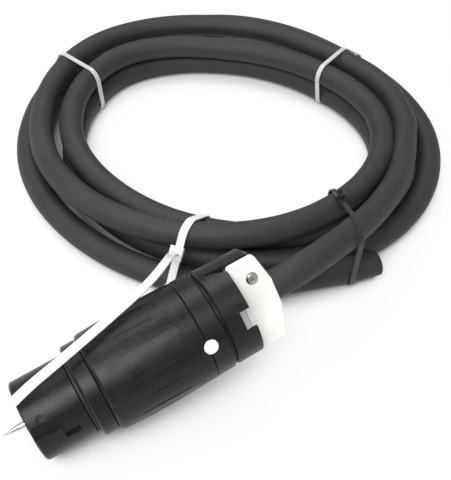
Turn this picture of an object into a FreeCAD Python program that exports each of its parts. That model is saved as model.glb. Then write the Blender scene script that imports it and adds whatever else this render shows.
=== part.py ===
import FreeCAD, Part
import math
import os

os.makedirs("parts", exist_ok=True)

V = FreeCAD.Vector

# A shore power cord: a twist-lock cord connector on a coiled heavy rubber cable with a cut free end.
# Lengths are in millimetres. The finished model stands on z = 0, with the middle of the connector's
# footprint at the origin and the connector's axis above the X axis, nose towards -X.

# Connector, along its own axis from the nose face (0) to the rear
NOSE_RADIUS = 30.5
NOSE_LENGTH = 39.5
NOSE_WALL = 5.0
NOSE_FACE = 6.0
NECK_RADIUS = 27.6
NECK_LENGTH = 2.6
NECK_RING_HEIGHT = 2.4
NECK_RING_EDGE = 0.5
FRONT_RING_RADIUS = 35.4
FRONT_RING_LENGTH = 11.2
GRIP_FRONT_RADIUS = 38.0
GRIP_RADIUS = 39.1
GRIP_SWELL = 0.8
GRIP_LENGTH = 78.6
GRIP_WALL = 5.4
GRIP_EDGE = 4.5
GRIP_EDGE_STEPS = 5
GRIP_BARREL_STEPS = 5
COLLAR_LENGTH = 15.2
COLLAR_RADIUS = 38.7
CAP_GAP = 2.2
CAP_RADIUS = 38.0
CAP_WALL = 3.2
CAP_NEAR_LENGTH = 20.5
CAP_FAR_LENGTH = 42.8
JOINT_EDGE = 0.6
FIT = 0.1
RUNNING = 0.3

# Locking slots and sight hole in the nose, whose outline is revolved from an angle clear of both
NOSE_SEAM_ANGLE = 49.0
SLOT_DEPTH = 2.8
SLOT_REACH = 31.3
SLOT_POCKET_START = 20.0
SLOT_FROM = -2.0
SLOT_TO = 16.0
SLOT_POCKET_FROM = -22.0
SLOT_COUNT = 2
HOLE_RADIUS = 3.0
HOLE_PLACE = 10.3
HOLE_ANGLE = 22.0

# Contacts: three curved sockets round a centre pin
CONTACT_COUNT = 3
CONTACT_RADIUS = 15.5
CONTACT_SPAN = 52.0
CONTACT_SLOT = 2.4
CONTACT_SHEET = 0.9
CONTACT_LENGTH = 26.0
CARRIER_LENGTH = 34.0
TERMINAL_SIDE = 10.0
TERMINAL_LENGTH = 15.0
PIN_RADIUS = 2.3
PIN_REACH = 19.0
PIN_TIP = 11.0
TERMINAL_SCREW_RADIUS = 2.0

# Flutes of the grip
FLUTE_COUNT = 16
FLUTE_WIDTH = 5.4
FLUTE_DEPTH = 0.6
FLUTE_RUNOUT = 0.25
FLUTE_START = 10.0
FLUTE_END = 70.0

# Screws that hold grip and collar
ASSEMBLY_SCREW_COUNT = 3
ASSEMBLY_HEAD_RADIUS = 5.4
ASSEMBLY_HEAD_HEIGHT = 2.6
ASSEMBLY_HEAD_EDGE = 0.8
ASSEMBLY_SHANK_RADIUS = 2.1
ASSEMBLY_SHANK_LENGTH = 11.0
ASSEMBLY_OFFSET = 1.8
GROOVE_WIDTH = 1.3

# Cord clamp: a jaw that slides between the lips of the cap's fixed half, with its edge swept at the wings
JAW_LENGTH = 28.3
JAW_HALF_WIDTH = 35.0
JAW_SWEEP = 5.9
JAW_TOP = 14.0
JAW_CORNER = 3.0
JAW_EDGE = 0.8
JAW_TONGUE = 8.0
JAW_TONGUE_HALF_WIDTH = 26.0
JAW_GAP = 0.6
SPLIT_GAP = 0.8
LIP_TOP = 7.6
LIP_INSIDE = 31.0
NOTCH_FROM = -4.0
NOTCH_TO = 11.3
NOTCH_DEPTH = 8.1
RELIEF_START = 2.6
RELIEF_RISE = 8.1
RELIEF_INSIDE = 30.0
CLAMP_SCREW_FROM_CAP = 35.7
CLAMP_SCREW_OFFSET = 19.3
CLAMP_SCREW_RADIUS = 2.4
CLAMP_SEAT = 1.4
CLAMP_HEAD_RADIUS = 4.5
CLAMP_HEAD_HEIGHT = 2.6
CLAMP_HEAD_EDGE = 0.9
CLAMP_SCREW_LENGTH = 21.0
CROSS_WIDTH = 1.0
CROSS_DEPTH = 1.6
INSERT_RADIUS = 3.6
INSERT_LENGTH = 8.0

# Cable
CABLE_DIAMETER = 23.0
CABLE_RADIUS = CABLE_DIAMETER / 2
CABLE_GAP = 0.3
JACKET_END = 151.5
CONDUCTOR_RADIUS = 3.3
CORE_START_ANGLE = 75.0
GROMMET_RADIUS = 19.0
GROMMET_LENGTH = 9.0

# How the connector lies: nose on the ground, rear raised by the cable
TILT = 10.6
ROLL = 61.0

# Coil: reach of the loops from the coil's centre, turn by turn, at its four sides
FRONT_REACH = (198.5, 174.0, 143.5, 165.5)
LEFT_REACH = (200.0, 156.0, 154.0, 188.0)
BACK_REACH = (226.0, 143.0, 140.0, 184.0)
RIGHT_REACH = (207.0, 150.0, 154.0, 181.5)
LAYER_STEP = 23.6
FRONT_CROSSING_RISE = 8.0
CLIMB_SHARE_AT_FRONT = 0.7
CUT_END_REACH = 211.0
CUT_END_TURN = 0.085
COIL_END_LEAN = 10.0
COIL_BEARING = -28.8
COIL_FROM_NOSE = (286.5, 232.3)

# Cable ties: the thin ones at their bearings round the coil, and the heavy one with its long tail
TIE_THICKNESS = 1.4
TIE_WIDTH = 4.6
TIE_GAP = 0.3
TIE_HEAD_SIDE = 1.7
TIE_HEAD_DEPTH = 4.2
HEAVY_TIE_WIDTH = 8.0
LEFT_TIE_BEARING = 151.5
RIGHT_TIE_BEARING = 42.0
BLACK_TIE_BEARING = -57.5
BLACK_TIE_SWING = 13.0
BLACK_TIE_HEAD = 135.0
BLACK_TIE_TAIL = 5.0
CLEAR_TIE_HEAD = 175.0
CLEAR_TIE_TAIL = 9.0
HEAVY_TIE_BEARING = -100.0
HEAVY_TIE_HEAD = 44.0
HEAVY_TIE_HEAD_SLIDE = 21.0
TIE_ANCHOR_REACH = 180.0
TIE_REACH = 90.0
GROUND_TO_CABLE = TIE_GAP + TIE_THICKNESS
TAIL_SIDE = (-1.0, 0.3, 0.0)
TAIL_CORNERS = (
    (-33.5, -190.0, 39.4),
    (-43.0, -226.0, 74.0),
    (-55.5, -265.0, 87.0),
    (-78.0, -294.0, 88.0),
    (-112.0, -328.0, 80.0),
    (-133.0, -346.0, 74.5),
    (-144.0, -355.0, 67.0),
)

# Route of the free stretch from the clamp to the coil, from the coil's centre, with the coil's right side
# on +X. Its first run follows the connector's axis, and its last one the straight end of the coil.
LEAD_FIRST_RUN = 79.0
LEAD_LAST_RUN = 43.0
LEAD_CORNERS = (
    (112.0, -172.0, 57.0),
    (148.0, -112.0, 43.0),
)

# Places along the connector's axis
RING_START = NOSE_LENGTH + NECK_LENGTH
GRIP_START = RING_START + FRONT_RING_LENGTH + RUNNING
GRIP_STOP = GRIP_START + GRIP_LENGTH
COLLAR_START = GRIP_STOP + RUNNING
COLLAR_STOP = COLLAR_START + COLLAR_LENGTH
CAP_START = COLLAR_STOP + CAP_GAP
CAP_NEAR_STOP = CAP_START + CAP_NEAR_LENGTH
CAP_FAR_STOP = CAP_START + CAP_FAR_LENGTH
JAW_START = CAP_NEAR_STOP + JAW_GAP
JAW_STOP = JAW_START + JAW_LENGTH
CLAMP_SCREW_PLACE = CAP_START + CLAMP_SCREW_FROM_CAP
ASSEMBLY_PLACE = GRIP_STOP + ASSEMBLY_OFFSET
GRIP_BORE = GRIP_FRONT_RADIUS - GRIP_WALL
SPIGOT_RADIUS = GRIP_BORE - FIT
CARRIER_RADIUS = NOSE_RADIUS - NOSE_WALL - FIT
CARRIER_START = NOSE_FACE + FIT
CARRIER_STOP = CARRIER_START + CARRIER_LENGTH
CABLE_CHANNEL = CABLE_RADIUS + CABLE_GAP


def save(shape, name):
    """Writes one sub-part."""
    shape.exportStep("parts/" + name + ".step")


def out(angle, radius=1.0):
    """A vector square to the connector's axis, at an angle from the jaw's facing direction."""
    a = math.radians(angle)
    return V(0, radius * math.sin(a), radius * math.cos(a))


def turned(points):
    """A solid of revolution round the connector's axis from (place, radius) corners."""
    corners = [V(place, 0, radius) for place, radius in points]
    face = Part.Face(Part.makePolygon(corners + [corners[0]]))
    return face.revolve(V(0, 0, 0), V(1, 0, 0), 360)


def tube(start, stop, outer, inner):
    """A plain ring on the connector's axis."""
    return turned([(start, inner), (start, outer), (stop, outer), (stop, inner)])


def rod(start, stop, radius):
    """A plain cylinder on the connector's axis."""
    return Part.makeCylinder(radius, stop - start, V(start, 0, 0), V(1, 0, 0))


def sector(start, stop, inner, outer, from_angle, to_angle):
    """A part of a ring between two angles."""
    low = out(from_angle)
    corners = [
        V(start, 0, 0) + low * inner,
        V(start, 0, 0) + low * outer,
        V(stop, 0, 0) + low * outer,
        V(stop, 0, 0) + low * inner,
    ]
    face = Part.Face(Part.makePolygon(corners + [corners[0]]))
    return face.revolve(V(0, 0, 0), V(-1, 0, 0), to_angle - from_angle)


def spoke(place, angle, from_radius, to_radius, radius):
    """A cylinder that points straight out from the axis."""
    direction = out(angle)
    return Part.makeCylinder(
        radius, to_radius - from_radius, V(place, 0, 0) + direction * from_radius, direction
    )


def block(x0, x1, y0, y1, z0, z1):
    """A box from its limits."""
    return Part.makeBox(x1 - x0, y1 - y0, z1 - z0, V(x0, y0, z0))


def around(shape, angle):
    """A copy turned about the connector's axis."""
    copy = shape.copy()
    copy.rotate(V(0, 0, 0), V(-1, 0, 0), angle)
    return copy


def contact_angles():
    """Where the curved contacts sit round the pin."""
    return [60 + i * 360 / CONTACT_COUNT for i in range(CONTACT_COUNT)]


def locking_slot():
    """The stepped slot that the mating shell's lug enters and turns in."""
    floor = NOSE_RADIUS - SLOT_DEPTH
    entry = sector(-1, SLOT_REACH, floor, NOSE_RADIUS + 2, SLOT_FROM, SLOT_TO)
    pocket = sector(SLOT_POCKET_START, SLOT_REACH, floor, NOSE_RADIUS + 2, SLOT_POCKET_FROM, SLOT_TO)
    return entry.fuse(pocket)


def make_nose_shell():
    """The nose with its face, locking slots, neck, front ring and the spigot inside the grip."""
    bore = NOSE_RADIUS - NOSE_WALL
    shell = turned([
        (0, 0),
        (0, NOSE_RADIUS - 1.2),
        (1.2, NOSE_RADIUS),
        (NOSE_LENGTH - 0.6, NOSE_RADIUS),
        (NOSE_LENGTH, NOSE_RADIUS - 0.6),
        (NOSE_LENGTH, NECK_RADIUS),
        (RING_START, NECK_RADIUS),
        (RING_START, FRONT_RING_RADIUS - 1.5),
        (RING_START + 1.5, FRONT_RING_RADIUS),
        (RING_START + FRONT_RING_LENGTH, FRONT_RING_RADIUS),
        (RING_START + FRONT_RING_LENGTH, SPIGOT_RADIUS),
        (GRIP_START + 22, SPIGOT_RADIUS),
        (GRIP_START + 22, bore),
        (NOSE_FACE, bore),
        (NOSE_FACE, 0),
    ])
    shell = around(shell, NOSE_SEAM_ANGLE)
    for i in range(SLOT_COUNT):
        angle = i * 360 / SLOT_COUNT
        shell = shell.cut(around(locking_slot(), angle))
        shell = shell.cut(spoke(HOLE_PLACE, HOLE_ANGLE + angle, bore + 1.6, NOSE_RADIUS + 2, HOLE_RADIUS))
    shell = shell.cut(rod(-1, NOSE_FACE + 1, PIN_RADIUS + FIT))
    half = CONTACT_SPAN / 2
    for angle in contact_angles():
        inner = CONTACT_RADIUS - CONTACT_SLOT / 2
        shell = shell.cut(
            sector(-1, NOSE_FACE + 1, inner, inner + CONTACT_SLOT, angle - half, angle + half)
        )
    return shell


def make_contact_carrier():
    """The insulating block that holds contacts and pin, with a three-way barrier behind."""
    carrier = rod(CARRIER_START, CARRIER_STOP, CARRIER_RADIUS)
    carrier = carrier.cut(rod(CARRIER_START - 1, CARRIER_STOP + 1, PIN_RADIUS + FIT))
    half = CONTACT_SPAN / 2 + 3
    inner = CONTACT_RADIUS - CONTACT_SLOT / 2 - CONTACT_SHEET - FIT
    outer = CONTACT_RADIUS + CONTACT_SLOT / 2 + CONTACT_SHEET + FIT
    for angle in contact_angles():
        carrier = carrier.cut(
            sector(CARRIER_START - 1, CARRIER_STOP + 1, inner, outer, angle - half, angle + half)
        )
        barrier = block(CARRIER_STOP - 1, CARRIER_STOP + TERMINAL_LENGTH, -0.8, 0.8, 8.5, CARRIER_RADIUS)
        carrier = carrier.fuse(around(barrier, angle + 180 / CONTACT_COUNT))
    return carrier.removeSplitter()


def terminal_block(reach):
    """A box terminal with a wire bore along the axis, a clamp plate's slot and a screw hole."""
    start = CARRIER_STOP + 0.5
    stop = start + TERMINAL_LENGTH
    half = TERMINAL_SIDE / 2
    body = block(start, stop, -half, half, reach - half, reach + half)
    body = body.cut(
        block(start + 1.5, stop + 1, -CONDUCTOR_RADIUS, CONDUCTOR_RADIUS,
              reach - CONDUCTOR_RADIUS, reach + CONDUCTOR_RADIUS)
    )
    hole = Part.makeCylinder(
        TERMINAL_SCREW_RADIUS + FIT, 2 * half, V((start + stop) / 2 + 1, 0, reach), V(0, 0, 1)
    )
    return body.cut(hole)


def make_contact(angle):
    """One curved double-leaf socket with its box terminal."""
    half = CONTACT_SPAN / 2
    start = CARRIER_START + 0.5
    stop = start + CONTACT_LENGTH
    inner = CONTACT_RADIUS - CONTACT_SLOT / 2
    outer = CONTACT_RADIUS + CONTACT_SLOT / 2
    leaves = sector(start, stop, inner - CONTACT_SHEET, outer + CONTACT_SHEET, -half, half)
    leaves = leaves.cut(sector(start - 1, stop - 2, inner, outer, -half - 1, half + 1))
    stem = block(stop - 1, CARRIER_STOP + 1.5, -3, 3, inner, outer)
    socket = leaves.fuse([stem, terminal_block(CONTACT_RADIUS)])
    return around(socket.removeSplitter(), angle)


def make_ground_pin():
    """The centre pin with its pointed tip and its own terminal."""
    start = CARRIER_STOP + 0.5
    pin = turned([
        (-PIN_REACH, 0),
        (-PIN_REACH, 0.25),
        (-PIN_REACH + PIN_TIP, PIN_RADIUS),
        (start, PIN_RADIUS),
        (start, PIN_RADIUS + 1.6),
        (start + 3, PIN_RADIUS + 1.6),
        (start + 3, 0),
    ])
    cup_start = start + 3
    cup = tube(cup_start, cup_start + 10, CONDUCTOR_RADIUS + 1.5, CONDUCTOR_RADIUS + FIT)
    return pin.fuse(cup).removeSplitter()


def make_terminal_screws():
    """One slotted clamping screw in each contact's box terminal."""
    start = CARRIER_STOP + 0.5
    half = TERMINAL_SIDE / 2
    place = start + TERMINAL_LENGTH / 2 + 1
    top = CONTACT_RADIUS + half
    screws = []
    for angle in contact_angles():
        shank = Part.makeCylinder(
            TERMINAL_SCREW_RADIUS, half + 0.6 - CONDUCTOR_RADIUS,
            V(place, 0, CONTACT_RADIUS + CONDUCTOR_RADIUS + 0.2), V(0, 0, 1)
        )
        head = Part.makeCylinder(TERMINAL_SCREW_RADIUS + 1.3, 2.2, V(place, 0, top + 0.2), V(0, 0, 1))
        groove = block(place - 5, place + 5, -0.4, 0.4, top + 1.4, top + 3)
        screws.append(around(shank.fuse(head).cut(groove), angle))
    return Part.makeCompound(screws)


def make_neck_ring():
    """The rubber ring in the neck between nose and front ring, with bevelled edges."""
    floor = NECK_RADIUS + FIT
    return turned([
        (NOSE_LENGTH + FIT, floor),
        (NOSE_LENGTH + FIT, floor + NECK_RING_HEIGHT - NECK_RING_EDGE),
        (NOSE_LENGTH + FIT + NECK_RING_EDGE, floor + NECK_RING_HEIGHT),
        (RING_START - FIT - NECK_RING_EDGE, floor + NECK_RING_HEIGHT),
        (RING_START - FIT, floor + NECK_RING_HEIGHT - NECK_RING_EDGE),
        (RING_START - FIT, floor),
    ])


def screw_seats():
    """Recesses and holes for the assembly screws, on the line between grip and collar."""
    seats = []
    floor = COLLAR_RADIUS - ASSEMBLY_HEAD_HEIGHT
    for i in range(ASSEMBLY_SCREW_COUNT):
        angle = i * 360 / ASSEMBLY_SCREW_COUNT
        recess = spoke(ASSEMBLY_PLACE, angle, floor, COLLAR_RADIUS + 5, ASSEMBLY_HEAD_RADIUS + RUNNING)
        hole = spoke(ASSEMBLY_PLACE, angle, floor - ASSEMBLY_SHANK_LENGTH - 1, COLLAR_RADIUS,
                     ASSEMBLY_SHANK_RADIUS + FIT)
        seats.append(recess.fuse(hole))
    return seats


def make_grip():
    """The barrel-shaped grip with long shallow flutes."""
    outline = [(GRIP_START, GRIP_BORE)]
    for i in range(GRIP_EDGE_STEPS):
        a = math.pi / 2 * i / GRIP_EDGE_STEPS
        outline.append((GRIP_START + GRIP_EDGE * (1 - math.cos(a)),
                        GRIP_FRONT_RADIUS - GRIP_EDGE * (1 - math.sin(a))))
    shoulder = GRIP_START + GRIP_EDGE
    rear = GRIP_STOP - JOINT_EDGE
    for i in range(GRIP_BARREL_STEPS + 1):
        share = i / GRIP_BARREL_STEPS
        swell = GRIP_SWELL * 4 * share * (1 - share)
        outline.append((shoulder + (rear - shoulder) * share,
                        GRIP_FRONT_RADIUS + (COLLAR_RADIUS - GRIP_FRONT_RADIUS) * share + swell))
    grip = turned(outline + [(GRIP_STOP, COLLAR_RADIUS - JOINT_EDGE), (GRIP_STOP, GRIP_BORE)])
    # A flute's floor is a flat arc that comes out of the barrel at both ends
    first = V(GRIP_START + FLUTE_START, 0, GRIP_FRONT_RADIUS + FLUTE_RUNOUT)
    last = V(GRIP_START + FLUTE_END, 0, GRIP_RADIUS)
    floor_middle = (first + last) * 0.5
    floor_middle.z = GRIP_RADIUS - FLUTE_DEPTH
    above = V(0, 0, 3)
    side = Part.Wire([
        Part.Arc(first, floor_middle, last).toShape(),
        Part.makeLine(last, last + above),
        Part.makeLine(last + above, first + above),
        Part.makeLine(first + above, first),
    ])
    flute = Part.Face(side).extrude(V(0, FLUTE_WIDTH, 0))
    flute.translate(V(0, -FLUTE_WIDTH / 2, 0))
    grip = grip.cut([around(flute, (i + 0.5) * 360 / FLUTE_COUNT) for i in range(FLUTE_COUNT)])
    return grip.cut(screw_seats())


def make_collar():
    """The rear collar with its spigot in the grip, its neck in the cap and the grommet's seat."""
    collar = turned([
        (COLLAR_START, COLLAR_RADIUS - JOINT_EDGE),
        (COLLAR_START + JOINT_EDGE, COLLAR_RADIUS),
        (COLLAR_STOP - 1.2, COLLAR_RADIUS - 0.3),
        (COLLAR_STOP, COLLAR_RADIUS - 1.5),
        (COLLAR_STOP, CAP_RADIUS - CAP_WALL - RUNNING),
        (CAP_START + 9, CAP_RADIUS - CAP_WALL - RUNNING),
        (CAP_START + 9, GROMMET_RADIUS + FIT),
        (CAP_START + 1, GROMMET_RADIUS + FIT),
        (CAP_START - 2, CABLE_CHANNEL),
        (CAP_START - 5, CABLE_CHANNEL),
        (CAP_START - 5, GRIP_BORE - 6),
        (GRIP_STOP - 16, GRIP_BORE - 6),
        (GRIP_STOP - 16, SPIGOT_RADIUS),
        (COLLAR_START, SPIGOT_RADIUS),
    ])
    return collar.cut(screw_seats())


def make_assembly_screw(angle):
    """A nylon screw with a domed slotted head."""
    seat = COLLAR_RADIUS - ASSEMBLY_HEAD_HEIGHT + RUNNING
    shank = spoke(ASSEMBLY_PLACE, 0, seat - ASSEMBLY_SHANK_LENGTH, seat + 0.5, ASSEMBLY_SHANK_RADIUS)
    head = spoke(ASSEMBLY_PLACE, 0, seat, seat + ASSEMBLY_HEAD_HEIGHT, ASSEMBLY_HEAD_RADIUS)
    rim = [edge for edge in head.Edges if edge.BoundBox.ZMin > seat + ASSEMBLY_HEAD_HEIGHT - 0.01]
    head = head.makeChamfer(ASSEMBLY_HEAD_EDGE, rim)
    groove = block(ASSEMBLY_PLACE - 9, ASSEMBLY_PLACE + 9, -GROOVE_WIDTH / 2, GROOVE_WIDTH / 2,
                   seat + ASSEMBLY_HEAD_HEIGHT - GROOVE_WIDTH, seat + ASSEMBLY_HEAD_HEIGHT + 3)
    groove.rotate(V(ASSEMBLY_PLACE, 0, 0), V(0, 0, 1), 35)
    return around(shank.fuse(head).cut(groove).removeSplitter(), angle)


def make_cap():
    """The rear cap: a hood over the wires, with the fixed half of the cord clamp behind it."""
    inner = CAP_RADIUS - CAP_WALL
    rear = CAP_RADIUS - 0.4
    cap = turned([
        (CAP_START, 0),
        (CAP_START, CAP_RADIUS - 1),
        (CAP_START + 1, CAP_RADIUS),
        (CAP_FAR_STOP - 4, rear),
        (CAP_FAR_STOP, rear - 4),
        (CAP_FAR_STOP, 0),
    ])
    wall = CAP_NEAR_STOP - 8
    cap = cap.cut(rod(CAP_START - 1, wall, inner))
    split = -SPLIT_GAP / 2
    # The fixed half keeps a lip on both sides, which the jaw sits between
    cap = cap.cut(block(CAP_NEAR_STOP, CAP_FAR_STOP + 5, -50, 50, LIP_TOP, 50))
    cap = cap.cut(block(CAP_NEAR_STOP, CAP_FAR_STOP + 5, -LIP_INSIDE, LIP_INSIDE, split, 50))
    hood = rod(wall - 1, CAP_NEAR_STOP + 1, inner)
    cap = cap.cut(hood.common(block(wall - 2, CAP_NEAR_STOP + 2, -50, 50, split, 50)))
    cap = cap.cut(rod(wall - 1, CAP_FAR_STOP + 1, CABLE_CHANNEL))
    cap = cap.cut(block(CAP_NEAR_STOP - NOTCH_DEPTH, CAP_NEAR_STOP + 1,
                        NOTCH_FROM, NOTCH_TO, JAW_TOP + 4, CAP_RADIUS + 2))
    relief = Part.makePolygon([
        V(CAP_START + RELIEF_START, 0, LIP_TOP),
        V(CAP_NEAR_STOP + 1, 0, LIP_TOP),
        V(CAP_NEAR_STOP + 1, 0, LIP_TOP + RELIEF_RISE),
        V(CAP_START + RELIEF_START, 0, LIP_TOP),
    ])
    for side in (1, -1):
        wedge = Part.Face(relief).extrude(V(0, side * CAP_RADIUS, 0))
        wedge.translate(V(0, side * RELIEF_INSIDE, 0))
        cap = cap.cut(wedge)
    # The lower screw enters from this side, and the upper one ends in a threaded insert
    far = -inner - 5
    bore = Part.makeCylinder(CLAMP_SCREW_RADIUS + FIT, 60, V(CLAMP_SCREW_PLACE, 0, far), V(0, 0, 1))
    lower = bore.copy()
    lower.translate(V(0, -CLAMP_SCREW_OFFSET, 0))
    seat = Part.makeCylinder(CLAMP_HEAD_RADIUS + RUNNING, 40,
                             V(CLAMP_SCREW_PLACE, -CLAMP_SCREW_OFFSET, -JAW_TOP - 40), V(0, 0, 1))
    pocket = Part.makeCylinder(INSERT_RADIUS + FIT, INSERT_LENGTH + 3,
                               V(CLAMP_SCREW_PLACE, CLAMP_SCREW_OFFSET, -INSERT_LENGTH - 3), V(0, 0, 1))
    return cap.cut([lower, seat, pocket])


def make_jaw():
    """The moving half of the cord clamp: a saddle between the cap's lips, with wings that lie over them."""
    bottom = SPLIT_GAP / 2
    middle = CABLE_RADIUS
    outline = Part.makePolygon([
        V(JAW_START, -JAW_HALF_WIDTH, 0),
        V(JAW_STOP - JAW_SWEEP, -JAW_HALF_WIDTH, 0),
        V(JAW_STOP, -middle, 0),
        V(JAW_STOP, middle, 0),
        V(JAW_STOP - JAW_SWEEP, JAW_HALF_WIDTH, 0),
        V(JAW_START, JAW_HALF_WIDTH, 0),
        V(JAW_START, -JAW_HALF_WIDTH, 0),
    ])
    jaw = Part.Face(outline).extrude(V(0, 0, JAW_TOP))
    wing_corners = [
        edge for edge in jaw.Edges
        if edge.BoundBox.ZLength > JAW_TOP - 0.01 and abs(edge.BoundBox.YMin) > middle + 1
    ]
    jaw = jaw.makeFillet(JAW_CORNER, wing_corners)
    rim = [edge for edge in jaw.Edges if edge.BoundBox.ZMin > JAW_TOP - 0.01]
    jaw = jaw.makeChamfer(JAW_EDGE, rim)
    under_wings = LIP_TOP + SPLIT_GAP
    jaw = jaw.cut(block(0, JAW_STOP + 5, -50, 50, -1, bottom))
    for side in (1, -1):
        low, high = sorted((side * (LIP_INSIDE - RUNNING), side * 50))
        jaw = jaw.cut(block(0, JAW_STOP + 5, low, high, -1, under_wings))
    tongue = block(JAW_START - JAW_TONGUE, JAW_START + 6,
                   -JAW_TONGUE_HALF_WIDTH, JAW_TONGUE_HALF_WIDTH, bottom, JAW_TOP - JAW_EDGE)
    jaw = jaw.fuse(tongue).cut(rod(JAW_START - 20, JAW_STOP + 5, CABLE_CHANNEL))
    upper = Part.makeCylinder(CLAMP_SCREW_RADIUS + FIT, 40,
                              V(CLAMP_SCREW_PLACE, CLAMP_SCREW_OFFSET, -1), V(0, 0, 1))
    seat = Part.makeCylinder(CLAMP_HEAD_RADIUS + RUNNING, 10,
                             V(CLAMP_SCREW_PLACE, CLAMP_SCREW_OFFSET, JAW_TOP - CLAMP_SEAT), V(0, 0, 1))
    pocket = Part.makeCylinder(INSERT_RADIUS + FIT, INSERT_LENGTH + 3,
                               V(CLAMP_SCREW_PLACE, -CLAMP_SCREW_OFFSET, 0), V(0, 0, 1))
    return jaw.cut([upper, seat, pocket]).removeSplitter()


def make_clamp_screw(seat_height):
    """A pan-head screw with a cross recess, its head at the given height and its shank below it."""
    head = Part.makeCylinder(CLAMP_HEAD_RADIUS, CLAMP_HEAD_HEIGHT, V(0, 0, 0), V(0, 0, 1))
    rim = [edge for edge in head.Edges if edge.BoundBox.ZMin > CLAMP_HEAD_HEIGHT - 0.01]
    head = head.makeChamfer(CLAMP_HEAD_EDGE, rim)
    shank = Part.makeCylinder(CLAMP_SCREW_RADIUS, CLAMP_SCREW_LENGTH, V(0, 0, -CLAMP_SCREW_LENGTH), V(0, 0, 1))
    top = CLAMP_HEAD_HEIGHT + 1
    half = CROSS_WIDTH / 2
    arm = CLAMP_HEAD_RADIUS * 0.58
    floor = CLAMP_HEAD_HEIGHT - CROSS_DEPTH
    cross = block(-arm, arm, -half, half, floor, top).fuse(block(-half, half, -arm, arm, floor, top))
    screw = head.fuse(shank).cut(cross).removeSplitter()
    screw.translate(V(CLAMP_SCREW_PLACE, CLAMP_SCREW_OFFSET, seat_height))
    return screw


def make_clamp_inserts():
    """Threaded brass inserts: one in the cap for the upper screw, one in the jaw for the lower one."""
    bore = CLAMP_SCREW_RADIUS + FIT
    ring = Part.makeCylinder(INSERT_RADIUS, INSERT_LENGTH).cut(Part.makeCylinder(bore, INSERT_LENGTH))
    in_cap = ring.copy()
    in_cap.translate(V(CLAMP_SCREW_PLACE, CLAMP_SCREW_OFFSET, -INSERT_LENGTH - 1.5))
    in_jaw = ring.copy()
    in_jaw.translate(V(CLAMP_SCREW_PLACE, -CLAMP_SCREW_OFFSET, 1.5))
    return in_cap, in_jaw


def make_grommet():
    """The rubber grommet that seals the cable in the collar's neck."""
    start = CAP_START + 1 + FIT
    return turned([
        (start, CABLE_CHANNEL),
        (start, GROMMET_RADIUS),
        (start + GROMMET_LENGTH * 0.8, GROMMET_RADIUS),
        (start + GROMMET_LENGTH, GROMMET_RADIUS - 3),
        (start + GROMMET_LENGTH, CABLE_CHANNEL),
    ])


def rounded_route(points, share=0.45):
    """Straight runs joined by tangent arcs, each as large as its two runs allow."""
    edges = []
    radii = []
    start = points[0]
    for i in range(1, len(points) - 1):
        corner = points[i]
        before = points[i - 1] - corner
        after = points[i + 1] - corner
        reach = share * min(before.Length, after.Length)
        before.normalize()
        after.normalize()
        first = corner + before * reach
        last = corner + after * reach
        half_turn = (math.pi - before.getAngle(after)) / 2
        radius = reach / math.tan(half_turn)
        middle = before + after
        middle.normalize()
        depth = radius / math.cos(half_turn) - radius
        edges.append(Part.LineSegment(start, first).toShape())
        edges.append(Part.Arc(first, corner + middle * depth, last).toShape())
        radii.append(radius)
        start = last
    edges.append(Part.LineSegment(start, points[-1]).toShape())
    return Part.Wire(edges), radii


def sweep(wire, radius):
    """A round bar along a wire."""
    first = wire.Edges[0]
    direction = first.tangentAt(first.FirstParameter)
    circle = Part.makeCircle(radius, first.valueAt(first.FirstParameter), direction)
    return wire.makePipeShell([Part.Wire(circle)], True, False)


def make_conductor(jacket_angle, terminal_angle, terminal_reach, terminal_stop):
    """One insulated core from the end of the jacket to its terminal."""
    near = out(jacket_angle, CABLE_RADIUS * 0.58)
    far = out(terminal_angle, terminal_reach)
    start = JACKET_END - CABLE_GAP
    points = [
        V(start, 0, 0) + near,
        V(start - 22, 0, 0) + near,
        V(terminal_stop + 24, 0, 0) + far,
        V(terminal_stop, 0, 0) + far,
    ]
    return sweep(rounded_route(points)[0], CONDUCTOR_RADIUS - FIT)


def arc_pair(start, start_way, stop, stop_way):
    """Two arcs that meet smoothly and leave and arrive in the given directions."""
    gap = stop - start
    ways = start_way + stop_way
    a = 2 * (1 - start_way.dot(stop_way))
    b = 2 * gap.dot(ways)
    c = -gap.dot(gap)
    reach = (-b + math.sqrt(b * b - 4 * a * c)) / (2 * a)
    joint = (start + stop + (start_way - stop_way) * reach) * 0.5
    arcs = []
    for end, way, other in ((start, start_way, joint), (stop, stop_way * -1, joint)):
        chord = other - end
        side = way * chord.Length - chord * (way.dot(chord) / chord.Length)
        half = chord.Length / 2
        tangent_share = way.dot(chord) / chord.Length
        rise = half * math.tan(math.acos(tangent_share) / 2)
        side.normalize()
        middle = (end + other) * 0.5 + side * rise
        arcs.append(Part.Arc(end, middle, other).toShape())
    return arcs


def coil_nodes():
    """Places of the coiled cable at each quarter turn, from the cut end inwards, up and out again."""
    low = GROUND_TO_CABLE + CABLE_RADIUS
    nodes = [(-CUT_END_TURN, CUT_END_REACH, low)]
    for turn in range(len(FRONT_REACH)):
        sides = (FRONT_REACH, LEFT_REACH, BACK_REACH, RIGHT_REACH)
        for quarter, side in enumerate(sides):
            place = turn + quarter / 4
            height = low
            if place > 2:
                height = low + LAYER_STEP
            if place == 2:
                height = low + LAYER_STEP * CLIMB_SHARE_AT_FRONT
            if place == 3:
                height = low + LAYER_STEP + FRONT_CROSSING_RISE
            nodes.append((place, side[turn], height))
    return nodes


def coil_point(node):
    """The point of one node; the front of the coil is turn 0, and the cable runs on clockwise."""
    turn, reach, height = node
    angle = math.radians(-90 - 360 * turn)
    return V(reach * math.cos(angle), reach * math.sin(angle), height)


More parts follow.
